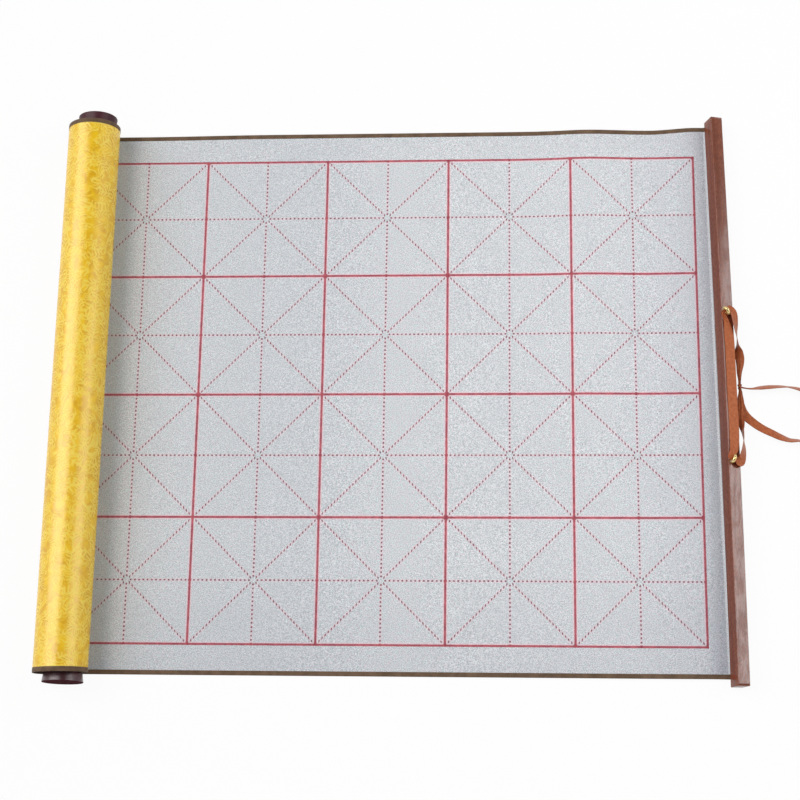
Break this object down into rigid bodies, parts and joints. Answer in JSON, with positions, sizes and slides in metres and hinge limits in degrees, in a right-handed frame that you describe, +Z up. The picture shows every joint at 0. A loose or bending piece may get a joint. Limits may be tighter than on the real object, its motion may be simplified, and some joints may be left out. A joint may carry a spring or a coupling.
{
  "type": "water writing cloth scroll",
  "caption": "Calligraphy practice scroll: gridded grey writing cloth with a brocade back, wound on a knobbed roller at one end and glued to a wooden stay with a tie ribbon at the other.",
  "frame": {"origin": "middle of the scroll's bounding box on the table, without the ribbon", "axes": "+X along the cloth from the roll to the stay, +Y across the cloth to its far edge, +Z up from the table"},
  "size_m": [0.6181, 0.4464, 0.0413],
  "materials": {
    "writing_cloth": "matte coated cloth with a printed red grid",
    "brocade": "satin gold brocade",
    "edge_tape": "brown woven tape",
    "dowel_wood": "plain turned wood",
    "knob_plastic": "glossy dark plum brown",
    "stay_wood": "stained and lightly varnished wood",
    "eye_brass": "bright brass plate",
    "ribbon": "satin ribbon"
  },
  "bodies": {
    "sheet": {"brocade_flat": "brocade", "writing_cloth_flat": "writing_cloth", "far_tape_flat": "edge_tape", "near_tape_flat": "edge_tape", "ribbon_tail_first": "ribbon", "ribbon_tail_second": "ribbon"},
    "outer_turn": {"brocade_turn": "brocade", "writing_cloth_turn": "writing_cloth", "far_tape_turn": "edge_tape", "near_tape_turn": "edge_tape"},
    "roller": {"wound_cloth": "writing_cloth", "far_tape_wound": "edge_tape", "near_tape_wound": "edge_tape", "roller_dowel": "dowel_wood", "far_knob": "knob_plastic", "near_knob": "knob_plastic"},
    "stay": {"end_tab": "writing_cloth", "stay_bar": "stay_wood", "far_eye": "eye_brass", "near_eye": "eye_brass", "ribbon_loop": "ribbon", "ribbon_knot": "ribbon"}
  },
  "joints": [
    {"name": "roll_travel", "type": "slide", "parent": "sheet", "child": "outer_turn", "axis": [1, 0, 0], "range_m": [-0.48, 0.4], "deforming": ["brocade_flat", "writing_cloth_flat", "far_tape_flat", "near_tape_flat"]},
    {"name": "roll_spin", "type": "hinge", "parent": "outer_turn", "child": "roller", "pos_m": [-0.23904, 0, 0.0193], "axis": [0, 1, 0], "range_deg": [-1380, 1200]},
    {"name": "stay_tilt", "type": "hinge", "parent": "sheet", "child": "stay", "pos_m": [0.24506, 0, 0.00302], "axis": [-0.0143, 0.9999, 0], "range_deg": [-100, 0]}
  ],
  "couplings": [
    {"joint": "roll_spin", "follows": "roll_travel", "rad_per_m": 47.85}
  ]
}
